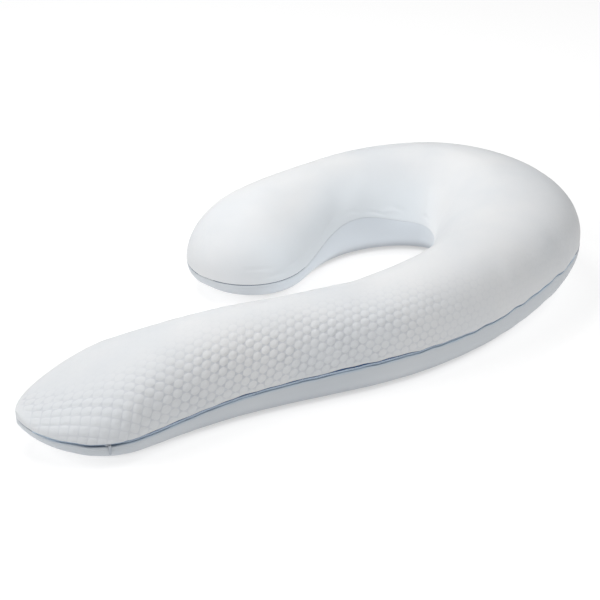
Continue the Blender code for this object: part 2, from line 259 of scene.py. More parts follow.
def turned_edge(s, side, way):
    """A panel's edge in the seam channel (way 1 for the upper panel, -1 for the lower).

    A wall runs out from the channel's floor, then a quarter circle turns round the fold:
    inset = lip (1 - cos t) - overhang, up = fold - way lip sin t.
    """
    edge = seam_edges(s, side)
    lip, seam, depth = edge["lip"], edge["seam"], edge["depth"]
    gap, overhang = (edge["upper_gap"], edge["overhang"]) if way > 0 else (edge["lower_gap"], 0)
    fold = seam + way * gap + way * lip

    def inset(by, up):
        return np.c_[s["line"][side] - s["facing"][side] * by[:, None], up]

    columns = [inset(depth, seam), inset(depth, seam + way * gap)]
    for turn in np.linspace(math.pi / 2, 0, LIP_STEPS, endpoint=False):
        by, drop = lip * (1 - math.cos(turn)) - overhang, way * lip * math.sin(turn)
        columns.append(inset(by, fold - drop))
    return np.stack(columns, 1), fold, overhang


def upper_half(s, side):
    """One half of the upper panel, from the floor of the seam channel up to the crown.

    Above the fold, out = w cos(t)^(2/p) and up = fold + (top - fold) sin(t)^(2/p); the edge's
    overhang fades as cos(t)^6.
    """
    hem, fold, overhang = turned_edge(s, side, 1)
    half = s["half"][side]
    power = 2 / (CROWN_POWER + np.interp(s["along"], *np.array(FULLER[side]).T))[:, None]
    turns = even_turns(half, s["top"] - fold, power, UPPER_STEPS)
    out = half[:, None] * np.cos(turns).clip(0) ** power
    up = fold[:, None] + (s["top"] - fold)[:, None] * np.sin(turns) ** power
    plan = s["centre"][:, None] + s["outward"][:, None] * (side * out)[..., None]
    plan += s["facing"][side][:, None] * (overhang[:, None] * np.cos(turns) ** 6)[..., None]
    return np.concatenate([hem, np.dstack([plan, up])], axis=1)


def lower_half(s, side):
    """One half of the lower panel, from the floor of the seam channel down to the middle.

    Below the fold, out = w (f + (1 - f) cos t) and up = fold - (fold - belly) sin t, as far as
    the edge of the flat.
    """
    hem, fold, _ = turned_edge(s, side, -1)
    turn = np.linspace(0, math.pi / 2, LOWER_STEPS)
    share = np.r_[FLAT_SHARE + (1 - FLAT_SHARE) * np.cos(turn),
                  np.linspace(FLAT_SHARE, 0, FLAT_STEPS + 1)[1:]]
    drop = np.r_[np.sin(turn), np.ones(FLAT_STEPS)]
    out = side * s["half"][side][:, None] * share
    plan = s["centre"][:, None] + s["outward"][:, None] * out[..., None]
    up = fold[:, None] - (fold - s["belly"])[:, None] * drop
    return np.concatenate([hem, np.dstack([plan, up])], axis=1)


def whole(half, s):
    """Both halves of a panel as one grid of points, from the outer seam to the inner one."""
    return np.concatenate([half(s, 1), half(s, -1)[:, -2::-1]], axis=1)


def blown_full(points, held):
    """How far the points of a closed cover move in a cloth simulation, blown up from inside."""
    scene = bpy.context.scene
    number = np.arange(points[..., 0].size).reshape(points.shape[:2])
    after = np.roll(number, -1, axis=1)
    faces = np.stack([number[1:], after[1:], after[:-1], number[:-1]], -1).reshape(-1, 4).tolist()
    faces += [number[0].tolist(), number[-1][::-1].tolist()]
    mesh = bpy.data.meshes.new("rough_cover")
    mesh.from_pydata(points.reshape(-1, 3).tolist(), [], faces)
    rough = placed("rough_cover", mesh)
    rough.vertex_groups.new(name="held").add(number[held].tolist(), 1.0, "REPLACE")
    cloth = rough.modifiers.new("cloth", "CLOTH")
    cloth.point_cache.frame_start, cloth.point_cache.frame_end = 1, CLOTH_FRAMES
    for name, value in CLOTH.items():
        setattr(cloth.settings, name, value)
    cloth.settings.effector_weights.gravity = 0
    for moment in range(1, CLOTH_FRAMES + 1):
        scene.frame_set(moment)
    shape = rough.evaluated_get(bpy.context.evaluated_depsgraph_get()).to_mesh()
    moved = np.zeros(points.size, np.float32)
    shape.vertices.foreach_get("co", moved)
    scene.frame_set(1)
    bpy.data.objects.remove(rough)
    return moved.reshape(points.shape) - points


def evened(field, rounds):
    """A grid of values, averaged over and over with their neighbours: (a + 2 b + c) / 4."""
    for _ in range(rounds):
        for axis in (0, 1):
            rim = [(1, 1) if i == axis else (0, 0) for i in range(field.ndim)]
            wide = np.pad(field, rim, "edge").swapaxes(0, axis)
            field = ((wide[:-2] + 2 * wide[1:-1] + wide[2:]) / 4).swapaxes(0, axis)
    return field


def spread(creases, columns, s, count):
    """Creases of the coarse cover at all points of a fine grid, by splines both ways."""
    along = natural_cubic(rough_form["along"], creases.reshape(len(creases), -1), s["along"])
    across = along.reshape(len(along), len(columns), 3).transpose(1, 0, 2)
    at = np.arange(count).clip(columns[0], columns[-1])
    fine = natural_cubic(columns.astype(float), across.reshape(len(columns), -1), at)
    return fine.reshape(count, len(along), 3).transpose(1, 0, 2)


HEM = 2 + LIP_STEPS        # columns turned in at each seam
ROUGH_GAP = 0.012          # between sections of the coarse cover
ROUGH_END = 14             # sections over each end
ROUGH_UPPER = 31           # its columns on the upper panel
ROUGH_LOWER = 15
ROUGH_FLAT = slice(36, 41)      # those of them that lie on the bed
CLOTH_FRAMES = 14
CLOTH = dict(quality=6, mass=0.15, tension_stiffness=30, compression_stiffness=30,
             shear_stiffness=10, bending_stiffness=2.0, air_damping=2.0, shrink_min=-0.025,
             use_pressure=True, uniform_pressure_force=4.0, vertex_group_mass="held")
CREASE_ROUNDS = 4          # evening that takes the simulation's roughness off
SWELL_ROUNDS = 40          # evening that leaves only the wide swelling
SWELL_SHARE = 0.8          # part of the wide swelling that is taken off
CREASE_SHARE = 0.50        # the fabric is tauter than the simulated cloth
CREASE_LIMIT = 0.0050
CREASE_START = 0.02        # from a tip
CREASE_EASE = 0.10         # length over which they deepen

rough_form = sections(places_along((ROUGH_GAP, ROUGH_GAP), ROUGH_END))
rough_upper, rough_lower = whole(upper_half, rough_form), whole(lower_half, rough_form)
upper_columns = np.linspace(HEM, rough_upper.shape[1] - 1 - HEM, ROUGH_UPPER).round().astype(int)
lower_columns = np.linspace(HEM, rough_lower.shape[1] - 1 - HEM, ROUGH_LOWER).round().astype(int)
rough_cover = np.concatenate([rough_upper[:, upper_columns],
                              rough_lower[:, lower_columns][:, ::-1]], axis=1)
creases = np.zeros_like(rough_cover)
# The coarse cover leaves the two pinched sections out, and is held at its ends as well.
held = np.zeros(rough_cover.shape[:2], bool)
held[:, [0, ROUGH_UPPER - 1, ROUGH_UPPER, -1]] = held[:, ROUGH_FLAT] = True
held[[1, -2]] = True
creases[1:-1] = blown_full(rough_cover[1:-1], held[1:-1])
creases = evened(creases, CREASE_ROUNDS) - SWELL_SHARE * evened(creases, SWELL_ROUNDS)
from_tip = np.minimum(rough_form["along"], LENGTH - rough_form["along"])
eased = np.clip((from_tip - CREASE_START) / CREASE_EASE, 0, 1)
creases *= CREASE_SHARE * eased[:, None, None]
size = np.maximum(np.linalg.norm(creases, axis=2), 1e-9)[..., None]
creases *= CREASE_LIMIT * np.tanh(size / CREASE_LIMIT) / size
upper_creases, lower_creases = creases[:, :ROUGH_UPPER], creases[:, :ROUGH_UPPER - 1:-1]

# --------------------------------------------------
# Upper panel. Two-layer polyester knit, its layers joined along the edges of small hexagons
# so that each one puffs up. It is cut in one piece and turned in along the seam; the hexagons
# are pulled flatter where the filling stretches it, on the crown and round the hook.
# --------------------------------------------------
CELL_PITCH = 0.0195        # between cells in one row
CELL_ROWS = 0.0147         # between rows
CELL_HEIGHT = 0.0020
CELL_MIDDLE = 0.7          # share of the height that lies below the fabric's own line
CELL_FLOOR = -1.15         # sum of the waves where a join's bottom is reached
CELL_RISE = 3.2            # from there to the top of a cell
GRAIN_TURN = math.radians(12)   # the rows lie this much off the length of the tail
LOOP = 0.0022              # drawn distance between the knit's loops
ROW_WAVE = 0.0133          # how far the rows wave to each side
ROW_WAVE_RATE = 9          # radians to the metre
ROW_WAVE_AT = 0.26
END_STRETCH = 0.14         # how much wider the cells are over the tail's end
END_PLACE = 0.40           # from there on towards the tip, on the minus side of x
END_EASE = 0.06            # length over which the stretch sets in
TAUT_BEND = 4.5            # bend, in radians to the metre, at which the cloth would be all taut
TAUT_MOST = 0.65
UPPER_GAPS = (0.0027, 0.0046)   # between sections of the mesh: on the tail, and past the bend
UPPER_END = 80             # sections over each end
# The cells' height by patches: how much the waves slant, and their length, share and phase.
PATCHES = ((1.3, ((0.113, 0.10, 0.5), (0.047, 0.08, 2.0))),
           (-1.9, ((0.079, 0.10, 3.0), (0.031, 0.08, 1.0))))
# Short folds beside the inner seam: place along, half length, height above the seam, its rise
# over the length, depth and half width.
FOLDS = (
    (1.700, 0.055, 0.011, 0.003, 0.0024, 0.0038), (1.640, 0.050, 0.019, -0.004, -0.0020, 0.0050),
    (1.600, 0.035, 0.027, 0.005, 0.0016, 0.0040), (1.780, 0.040, 0.018, 0.006, 0.0014, 0.0045),
    (1.460, 0.050, 0.020, 0.004, 0.0014, 0.0045), (1.870, 0.045, 0.026, -0.006, 0.0012, 0.0050),
    (2.060, 0.045, 0.016, 0.003, 0.0018, 0.0035), (2.015, 0.055, 0.028, -0.004, 0.0016, 0.0040),
    (2.095, 0.035, 0.036, 0.003, 0.0014, 0.0038), (1.945, 0.045, 0.020, 0.006, 0.0012, 0.0050),
)
FOLD_SAG = 0.0025          # how far a fold's ends lie off its middle


def surface_normals(points):
    """Unit normals of a grid of points, from the slopes along both of its directions."""
    normal = np.cross(np.gradient(points, axis=0), np.gradient(points, axis=1))
    return normal / np.maximum(np.linalg.norm(normal, axis=2), 1e-12)[..., None]


def run_across(points):
    """How far each point of a grid lies from the first column, along its section."""
    gaps = np.linalg.norm(np.diff(points, axis=1), axis=2)
    return np.c_[np.zeros(len(points)), np.cumsum(gaps, axis=1)]


def smooth(value, low, high):
    """0 below low, 1 above high, and k^2 (3 - 2 k) at the share k between them."""
    share = ((value - low) / (high - low)).clip(0, 1)
    return share * share * (3 - 2 * share)


def lay_flat(s, points):
    """Where each point was on the flat cloth before sewing, in metres.

    The cloth keeps its length across, except inside the bend, where it was cut narrower and
    is stretched, so that its rows don't fan out.
    """
    run = run_across(points)
    run -= run[:, run.shape[1] // 2, None]
    beside = points[..., :2] - s["centre"][:, None]
    plan = -(beside * s["outward"][:, None]).sum(2)
    taut = np.clip(s["bend"] / TAUT_BEND, 0, TAUT_MOST)[:, None] * (run > 0)
    across = run + (plan - run) * taut
    return s["centre"][:, None] - s["outward"][:, None] * across[..., None]


def cell_places(flat):
    """Cloth coordinates counted in cells: along a row, and row by row.

    The rows wave as a sine along x, and the cells are stretched wider over the tail's end: x
    grows by stretch ease ln(1 + e^-((x + place) / ease)). Then both turn by the grain.
    """
    x, y = flat[..., 0], flat[..., 1]
    y = y - ROW_WAVE * np.sin(ROW_WAVE_RATE * (x + ROW_WAVE_AT))
    x = x + END_STRETCH * END_EASE * np.log1p(np.exp(-(x + END_PLACE) / END_EASE))
    along = x * math.cos(GRAIN_TURN) + y * math.sin(GRAIN_TURN)
    across = y * math.cos(GRAIN_TURN) - x * math.sin(GRAIN_TURN)
    return np.stack([along / CELL_PITCH, across / CELL_ROWS], axis=-1)


def puffed(cells, drawn, squared):
    """0 in the joins to 1 on a cell, from three cosine waves 60 degrees apart.

    Their sum makes six-sided cells. One outweighs the others where the cloth is drawn out,
    until cells run into ridges; the product of two makes four-sided cells where it is squared.
    """
    u, v = 2 * math.pi * cells[..., 0], 2 * math.pi * cells[..., 1]
    ridges, other = np.cos(u + v / 2), np.cos(u - v / 2)
    level = (1 + drawn) * ridges + (1 - drawn) * (other + np.cos(v))
    level += squared * ((1 + ridges) * (1 + other) - 1 - level)
    return 1 - (1 - ((level - CELL_FLOOR) / CELL_RISE).clip(0, 1)) ** 3


def cell_strength(s, points):
    """How much of the cells' height is left, how far they are drawn out, and how squared.

    They stand up on the slope above the outer seam of the tail, and are flatter on the crown,
    round the bend and on the hook.
    """
    run, along = run_across(points), s["along"][:, None]
    slope = 1 - 0.92 * smooth(run, 0.070, 0.180)
    arm = 1 - 0.88 * smooth(along, 0.60, 0.98)
    tips = smooth(np.minimum(along, LENGTH - along), 0.0, 0.03)
    seams = smooth(np.minimum(run, run[:, -1:] - run), 0.008, 0.020)
    patchy = sum(ripple(along + slant * run, waves) for slant, waves in PATCHES)
    drawn = 0.90 * smooth(run, 0.055, 0.100) * (1 - smooth(along, 0.20, 0.34))
    squared = (1 - drawn) * (1 - smooth(along, 0.16, 0.32))
    return slope * arm * tips * seams * (0.78 + patchy), drawn, squared


def kept_clean(s, points):
    """How much painted light the cloth gets: a paler colour inside the hook, standing in for
    light there.

    It is 1 beside the inner seam there, and fades along the seam and away from it.
    """
    run, along = run_across(points[:, ::-1])[:, ::-1], s["along"][:, None]
    inside = smooth(along, 1.35, 1.60) * (1 - smooth(along, 2.05, 2.12))
    return inside * (1 - smooth(run, 0.05, 0.15))


def folded(s, points):
    """How deep the short folds are: each a valley, depth e^-(distance / width)^2.

    Its depth fades to its ends as (1 - k^2)^1.5 at the share k of its half length.
    """
    run = run_across(points[:, ::-1])[:, ::-1]
    depth = np.zeros_like(run)
    for place, half, height, rise, deep, width in FOLDS:
        part = ((s["along"] - place) / half)[:, None]
        middle = height + rise * part + FOLD_SAG * np.cos(2.2 * part)
        ends = np.clip(1 - part ** 2, 0, 1) ** 1.5
        depth += deep * ends * np.exp(-((run - middle) / width) ** 2)
    return depth


def cloth_mesh(name, points, cloth, outward=1, **values):
    """A mesh from a grid of points whose first and last sections are pinched shut.

    There each column meets its mirror column. cloth is kept as a UV map, corner by corner, and
    other grids of values as attributes of the points.
    """
    count, across = points.shape[:2]
    number = np.arange(count * across).reshape(count, across)
    shared = number.copy()
    mirror = across - 1 - np.arange(across)
    for end in (0, -1):
        shared[end] = np.minimum(number[end], number[end][mirror])
    corners = np.stack([number[:-1, :-1], number[1:, :-1], number[1:, 1:], number[:-1, 1:]], -1)
    corners = corners.reshape(-1, 4)[:, ::outward]
    kept, faces = np.unique(shared.ravel()[corners], return_inverse=True)
    mesh = bpy.data.meshes.new(name)
    mesh.from_pydata(points.reshape(-1, 3)[kept].tolist(), [], faces.reshape(-1, 4).tolist())
    at_corners = cloth.reshape(-1, 2)[corners.ravel()].astype(np.float32)
    mesh.uv_layers.new(name="cloth").uv.foreach_set("vector", at_corners.ravel())
    for label, grid in values.items():
        kind = mesh.attributes.new(label, "FLOAT", "POINT")
        kind.data.foreach_set("value", grid.ravel()[kept].astype(np.float32))
    mesh.shade_smooth()
    return placed(name, mesh)


def linear(code):
    """An sRGB hex colour as the linear numbers that a shader takes."""
    part = np.array([int(code[i:i + 2], 16) for i in (0, 2, 4)]) / 255
    part = np.where(part <= 0.04045, part / 12.92, ((part + 0.055) / 1.055) ** 2.4)
    return (*part.tolist(), 1.0)


def add(tree, kind, inputs=(), **settings):
    """A new node: settings are its own properties, inputs its sockets' values or links."""
    made = tree.nodes.new(kind)
    for name, value in settings.items():
        setattr(made, name, value)
    for socket, value in dict(inputs).items():
        if isinstance(value, bpy.types.NodeSocket):
            tree.links.new(value, made.inputs[socket])
        else:
            made.inputs[socket].default_value = value
    return made


def new_finish(name):
    """An empty material with its shader, and the shader's node tree."""
    finish = bpy.data.materials.new(name)
    finish.use_nodes = True
    tree = finish.node_tree
    return finish, tree, tree.nodes["Principled BSDF"]


def quilted_knit():
    """Quilted polyester double knit: dull, with a soft bloom at grazing angles.

    The joins between cells come from the same three waves as the relief, so they lie in it; their
    darker colour is painted shade, darker where the cells stand higher.
    """
    finish, tree, shader = new_finish("quilted_knit")
    cloth = add(tree, "ShaderNodeUVMap", uv_map="cloth").outputs["UV"]
    parts = add(tree, "ShaderNodeSeparateXYZ", {"Vector": cloth}).outputs
    turn = 2 * math.pi
    u = add(tree, "ShaderNodeMath", {0: parts["X"], 1: turn}, operation="MULTIPLY").outputs[0]
    v = add(tree, "ShaderNodeMath", {0: parts["Y"], 1: turn}, operation="MULTIPLY").outputs[0]
    waves = []
    for share in (-0.5, 0.5):
        angle = add(tree, "ShaderNodeMath", {0: v, 1: share, 2: u},
                    operation="MULTIPLY_ADD").outputs[0]
        waves.append(add(tree, "ShaderNodeMath", {0: angle}, operation="COSINE").outputs[0])
    waves.append(add(tree, "ShaderNodeMath", {0: v}, operation="COSINE").outputs[0])
    pair = add(tree, "ShaderNodeMath", {0: waves[0], 1: waves[1]}, operation="ADD").outputs[0]
    six = add(tree, "ShaderNodeMath", {0: pair, 1: waves[2]}, operation="ADD").outputs[0]
    four = add(tree, "ShaderNodeMath", {0: waves[0], 1: waves[1], 2: pair},
               operation="MULTIPLY_ADD").outputs[0]
    squared = add(tree, "ShaderNodeAttribute", attribute_name="squared").outputs["Fac"]
    level = add(tree, "ShaderNodeMix", {"Factor": squared, 2: six, 3: four},
                data_type="FLOAT").outputs[0]
    # The join is where the level falls to about -1: 1 there, 0 a little way up the cell.
    join = add(tree, "ShaderNodeMapRange", {"Value": level, "From Min": -0.82, "From Max": -1.08},
               interpolation_type="SMOOTHSTEP").outputs["Result"]
    standing = add(tree, "ShaderNodeAttribute", attribute_name="standing").outputs["Fac"]
    line = add(tree, "ShaderNodeMath", {0: join, 1: standing}, operation="MULTIPLY").outputs[0]
    # Knit loops are 0.9 mm apart; they are drawn at 2.2 mm, the finest that shows.
    loops = add(tree, "ShaderNodeVectorMath",
                {0: cloth, 1: (CELL_PITCH / LOOP, CELL_ROWS / LOOP, 1)},
                operation="MULTIPLY").outputs[0]
    knit = add(tree, "ShaderNodeTexVoronoi", {"Vector": loops, "Scale": 1.0, "Randomness": 0.35},
               voronoi_dimensions="2D").outputs["Distance"]
    place = add(tree, "ShaderNodeTexCoord").outputs["Object"]
    cloudy = add(tree, "ShaderNodeTexNoise", {"Vector": place, "Scale": 4.5, "Detail": 3.0,
                                              "Roughness": 0.55}).outputs["Fac"]
    tints = add(tree, "ShaderNodeValToRGB", {"Fac": cloudy})
    tints.color_ramp.elements[0].position, tints.color_ramp.elements[1].position = 0.35, 0.66
    tints.color_ramp.elements[0].color = linear("DADDE0")
    tints.color_ramp.elements[1].color = linear("E2E3E4")
    # Painted light: the cloth is paler inside the hook.
    clean = add(tree, "ShaderNodeAttribute", attribute_name="clean").outputs["Fac"]
    pale = add(tree, "ShaderNodeMix", {"Factor": clean, 6: tints.outputs["Color"],
                                       7: linear("E4E9ED")}, data_type="RGBA").outputs[2]
    # Painted shade: the joins are darker, the more the cells stand up round them.
    joins_shaded = add(tree, "ShaderNodeMix", {"Factor": line, 6: pale, 7: linear("CED1D6")},
                  data_type="RGBA").outputs[2]
    tree.links.new(joins_shaded, shader.inputs["Base Color"])
    puff = add(tree, "ShaderNodeBump", {"Height": line, "Strength": 0.4, "Distance": 0.0006},
               invert=True)
    grain = add(tree, "ShaderNodeBump", {"Height": knit, "Strength": 0.6, "Distance": 0.0006,
                                         "Normal": puff.outputs["Normal"]})
    tree.links.new(grain.outputs["Normal"], shader.inputs["Normal"])
    shader.inputs["Roughness"].default_value = 0.88
    shader.inputs["IOR"].default_value = 1.45
    shader.inputs["Specular IOR Level"].default_value = 0.25
    shader.inputs["Sheen Weight"].default_value = 0.12
    shader.inputs["Sheen Roughness"].default_value = 0.45
    return finish


upper_form = sections(places_along(UPPER_GAPS, UPPER_END))
upper_points = whole(upper_half, upper_form)
upper_cells = cell_places(lay_flat(upper_form, upper_points))
standing, drawn, squared = cell_strength(upper_form, upper_points)
relief = CELL_HEIGHT * standing * (puffed(upper_cells, drawn, squared) - CELL_MIDDLE)
relief -= folded(upper_form, upper_points)
upper_points = upper_points + surface_normals(upper_points) * relief[..., None]
upper_points += spread(upper_creases, upper_columns, upper_form, upper_points.shape[1])

cover_upper = cloth_mesh("cover_upper", upper_points, upper_cells,
                         standing=standing, squared=squared,
                         clean=kept_clean(upper_form, upper_points))
cover_upper.data.materials.append(quilted_knit())
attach(cover_upper, "root")
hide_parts("pillow_body")

# --------------------------------------------------
# Lower panel. One piece of smooth polyester jersey, from the seam down the side and flat
# under the filling. Its edge is turned in against the upper panel's.
# --------------------------------------------------
LOWER_GAPS = (0.0060, 0.0060)   # between sections of the mesh
LOWER_END = 46             # sections over each end
RIB = 0.0020               # drawn distance between ribs
EDGE_WIDTH = (0.006, 0.012)     # the blue edge fades between these, from the channel's floor


def smooth_jersey():
    """Smooth polyester jersey: fine upright ribs, slightly bluer than the upper panel."""
    finish, tree, shader = new_finish("smooth_jersey")
    cloth = add(tree, "ShaderNodeUVMap", uv_map="cloth").outputs["UV"]
    # Ribs are 0.8 mm apart; they are drawn at 2 mm, the finest that shows.
    ribs = add(tree, "ShaderNodeVectorMath", {0: cloth, 1: (1 / RIB, 1 / RIB, 1)},
               operation="MULTIPLY").outputs[0]
    knit = add(tree, "ShaderNodeTexVoronoi", {"Vector": ribs, "Scale": 1.0, "Randomness": 0.25},
               voronoi_dimensions="2D").outputs["Distance"]
    place = add(tree, "ShaderNodeTexCoord").outputs["Object"]
    cloudy = add(tree, "ShaderNodeTexNoise",
                 {"Vector": place, "Scale": 5.0, "Detail": 2.0}).outputs["Fac"]
    tints = add(tree, "ShaderNodeValToRGB", {"Fac": cloudy})
    tints.color_ramp.elements[0].position, tints.color_ramp.elements[1].position = 0.35, 0.65
    tints.color_ramp.elements[0].color = linear("C9CED3")
    tints.color_ramp.elements[1].color = linear("CFD3D7")
    # Painted light: the cloth is paler inside the hook.
    clean = add(tree, "ShaderNodeAttribute", attribute_name="clean").outputs["Fac"]
    pale = add(tree, "ShaderNodeMix", {"Factor": clean, 6: tints.outputs["Color"],
                                       7: linear("D9DFE5")}, data_type="RGBA").outputs[2]
    # The turned edge beside the zip is bluer.
    dyed = add(tree, "ShaderNodeAttribute", attribute_name="dyed").outputs["Fac"]
    edge = add(tree, "ShaderNodeMix", {"Factor": dyed, 6: pale, 7: linear("A6B9CB")},
               data_type="RGBA").outputs[2]
    # Painted shade: it is greyer close to the bed, standing in for the shade under the pillow.
    height = add(tree, "ShaderNodeSeparateXYZ", {"Vector": place}).outputs["Z"]
    painted_shade_low = add(tree, "ShaderNodeMapRange",
                 {"Value": height, "From Min": 0.050, "From Max": 0.006},
                 interpolation_type="SMOOTHSTEP").outputs["Result"]
    shade = add(tree, "ShaderNodeMix", {"Factor": painted_shade_low, 6: edge, 7: linear("A2A7AE")},
                data_type="RGBA").outputs[2]
    tree.links.new(shade, shader.inputs["Base Color"])
    grain = add(tree, "ShaderNodeBump", {"Height": knit, "Strength": 0.25, "Distance": 0.0003})
    tree.links.new(grain.outputs["Normal"], shader.inputs["Normal"])
    shader.inputs["Roughness"].default_value = 0.82
    shader.inputs["Specular IOR Level"].default_value = 0.3
    shader.inputs["Sheen Weight"].default_value = 0.10
    shader.inputs["Sheen Roughness"].default_value = 0.4
    return finish


def edge_dyed(s, points):
    """How blue the turned edge is: 1 where it lies over the zip's tape, fading out beside it."""
    along = s["along"][:, None]
    beside_zip = smooth(along, 0.02, 0.05) * (1 - smooth(along, 1.15, 1.19))
    return (1 - smooth(run_across(points), *EDGE_WIDTH)) * beside_zip


lower_form = sections(places_along(LOWER_GAPS, LOWER_END))
lower_points = whole(lower_half, lower_form)
lower_flat = lay_flat(lower_form, lower_points)
lower_points += spread(lower_creases, lower_columns, lower_form, lower_points.shape[1])
lower_points[..., 2] = lower_points[..., 2].clip(0)

cover_lower = cloth_mesh("cover_lower", lower_points, lower_flat, outward=-1,
                         dyed=edge_dyed(lower_form, lower_points),
                         clean=kept_clean(lower_form, lower_points))
cover_lower.data.materials.append(smooth_jersey())
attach(cover_lower, "root")
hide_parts("pillow_body")

# --------------------------------------------------
# Zip tapes. Two narrow woven polyester tapes, sewn behind the turned-in edges, one each side
# of the coil.
# --------------------------------------------------
ZIP_START = 0.017          # along the filling, near the tail tip
ZIP_END = 1.182            # where the bend begins to turn back
TAPE_OUT = (0.0004, 0.0011)     # back and face of the tape, from the channel's floor
TAPE_UP = (0.0003, 0.0050)      # its two long edges, from the middle of the zip
TAPE_RINGS = 420           # sections of the mesh
SEAM_TABLE = 8001          # distances at which the exact line of a seam is looked up

dense = sections(np.linspace(0, LENGTH, SEAM_TABLE))
zip_part = slice(int(np.searchsorted(dense["along"], ZIP_START)),
                 int(np.searchsorted(dense["along"], ZIP_END)))
dense_edge = seam_edges(dense, 1)
zip_floor = (dense["line"][1] - dense["facing"][1] * dense_edge["depth"][:, None])[zip_part]
zip_line = np.c_[zip_floor, dense_edge["seam"][zip_part]]
zip_run = np.r_[0, np.cumsum(np.linalg.norm(np.diff(zip_line, axis=0), axis=1))]
zip_facing = dense["facing"][1][zip_part]


def on_zip(run, out, up):
    """Points beside the zip's line: run along it, out from the channel's floor, and up."""
    base = np.stack([np.interp(run, zip_run, column) for column in zip_line.T], -1)
    facing = np.stack([np.interp(run, zip_run, column) for column in zip_facing.T], -1)
    facing /= np.linalg.norm(facing, axis=-1)[..., None]
    base[..., :2] += facing * out[..., None]
    base[..., 2] += up
    return base


def tube_mesh(name, rings, cloth=None):
    """A mesh from closed rings of points, with a flat end at each end."""
    count, around = rings.shape[:2]
    number = np.arange(count * around).reshape(count, around)
    after = np.roll(number, -1, axis=1)
    faces = np.stack([number[:-1], after[:-1], after[1:], number[1:]], -1).reshape(-1, 4).tolist()
    faces += [number[0][::-1].tolist(), number[-1].tolist()]
    mesh = bpy.data.meshes.new(name)
    mesh.from_pydata(rings.reshape(-1, 3).tolist(), [], faces)
    if cloth is not None:
        corner = np.zeros(len(mesh.loops), np.int32)
        mesh.loops.foreach_get("vertex_index", corner)
        layer = mesh.uv_layers.new(name="cloth")
        layer.uv.foreach_set("vector", cloth.reshape(-1, 2)[corner].astype(np.float32).ravel())
    return placed(name, mesh)


def woven_tape():
    """Woven polyester tape: a fine twill with a slight shine."""
    finish, tree, shader = new_finish("woven_tape")
    cloth = add(tree, "ShaderNodeUVMap", uv_map="cloth").outputs["UV"]
    # Threads are 0.4 mm apart; they are drawn at 0.9 mm along the tape, light and dark in turn.
    twill = add(tree, "ShaderNodeTexWave", {"Vector": cloth, "Scale": 350.0, "Distortion": 0.3},
                wave_type="BANDS", bands_direction="DIAGONAL").outputs["Fac"]
    shade = add(tree, "ShaderNodeMix", {"Factor": twill, 6: linear("1E4788"),
                                        7: linear("336AB2")}, data_type="RGBA").outputs[2]
    tree.links.new(shade, shader.inputs["Base Color"])
    weave = add(tree, "ShaderNodeBump", {"Height": twill, "Strength": 0.5, "Distance": 0.0002})
    tree.links.new(weave.outputs["Normal"], shader.inputs["Normal"])
    shader.inputs["Roughness"].default_value = 0.7
    shader.inputs["Sheen Weight"].default_value = 0.1
    return finish


tape_finish = woven_tape()
back, face = TAPE_OUT
near, far = TAPE_UP
tape_profile = np.array([(back, near), (face, near), (face, (near + far) / 2), (face, far),
                         (back, far)])
tape_run = np.linspace(0, zip_run[-1], TAPE_RINGS)[:, None]
for name, way in (("zip_tape_upper", 1), ("zip_tape_lower", -1)):
    out, up = tape_profile[::-way].T
    rings = on_zip(*np.broadcast_arrays(tape_run, out, way * up))
    cloth = np.stack(np.broadcast_arrays(tape_run, up), -1)
    tape = tube_mesh(name + "_woven", rings, cloth)
    tape.data.materials.append(tape_finish)
    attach(tape, "root")
    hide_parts(name)

# --------------------------------------------------
# Coil. Two nylon threads, each wound into a spring and sewn along the edge of its tape; the
# turns of one lie between the turns of the other.
# --------------------------------------------------
COIL_PITCH = 0.0018
COIL_THREAD = 0.00042      # radius
COIL_MIDDLE = 0.00450      # out from the channel's floor
COIL_SWING = 0.00047       # half its depth
COIL_UP = (0.00085, 0.00120)    # middle and half width of one spring
COIL_START = {1: 0.25, -1: 0.75}    # in turns, so that one lies between the other's
TURN_POINTS = 8            # points of a thread in one turn
THREAD_SIDES = 5


def thread_rings(line, aside, radius):
    """Rings of points round a line: line + radius (side cos t + other sin t).

    The two directions are square to the line's slope, and the first one to aside as well.
    """
    tangent = np.gradient(line, axis=0)
    side = np.cross(tangent, aside)
    other = np.cross(tangent, side)
    side /= np.linalg.norm(side, axis=1)[:, None]
    other /= np.linalg.norm(other, axis=1)[:, None]
    turn = 2 * math.pi * np.arange(THREAD_SIDES)[:, None] / THREAD_SIDES
    return line[:, None] + radius * (side[:, None] * np.cos(turn) + other[:, None] * np.sin(turn))


def spring_rings(way):
    """A thread wound round the zip's line: a helix squashed to the coil's depth and width.

    At the angle t, run = pitch t / 2 pi, out = middle + swing cos t, up = middle + half sin t.
    """
    turns = int(zip_run[-1] / COIL_PITCH) - 1
    turn = 2 * math.pi * np.arange(turns * TURN_POINTS + 1) / TURN_POINTS
    middle, half = COIL_UP
    line = on_zip(COIL_PITCH * (turn / (2 * math.pi) + COIL_START[way]),
                  COIL_MIDDLE + COIL_SWING * np.cos(turn), way * (middle + half * np.sin(turn)))
    axis = np.gradient(on_zip(COIL_PITCH * turn / (2 * math.pi), 0 * turn, 0 * turn), axis=0)
    return thread_rings(line, axis, COIL_THREAD)


def nylon_coil():
    """Extruded nylon monofilament: smooth and slightly glossy."""
    finish, tree, shader = new_finish("nylon_coil")
    place = add(tree, "ShaderNodeTexCoord").outputs["Object"]
    uneven = add(tree, "ShaderNodeTexNoise",
                 {"Vector": place, "Scale": 300.0, "Detail": 2.0}).outputs["Fac"]
    shade = add(tree, "ShaderNodeMix", {"Factor": uneven, 6: linear("C8DAEC"),
                                        7: linear("DCE9F5")}, data_type="RGBA").outputs[2]
    tree.links.new(shade, shader.inputs["Base Color"])
    shader.inputs["Roughness"].default_value = 0.35
    shader.inputs["IOR"].default_value = 1.53
    return finish


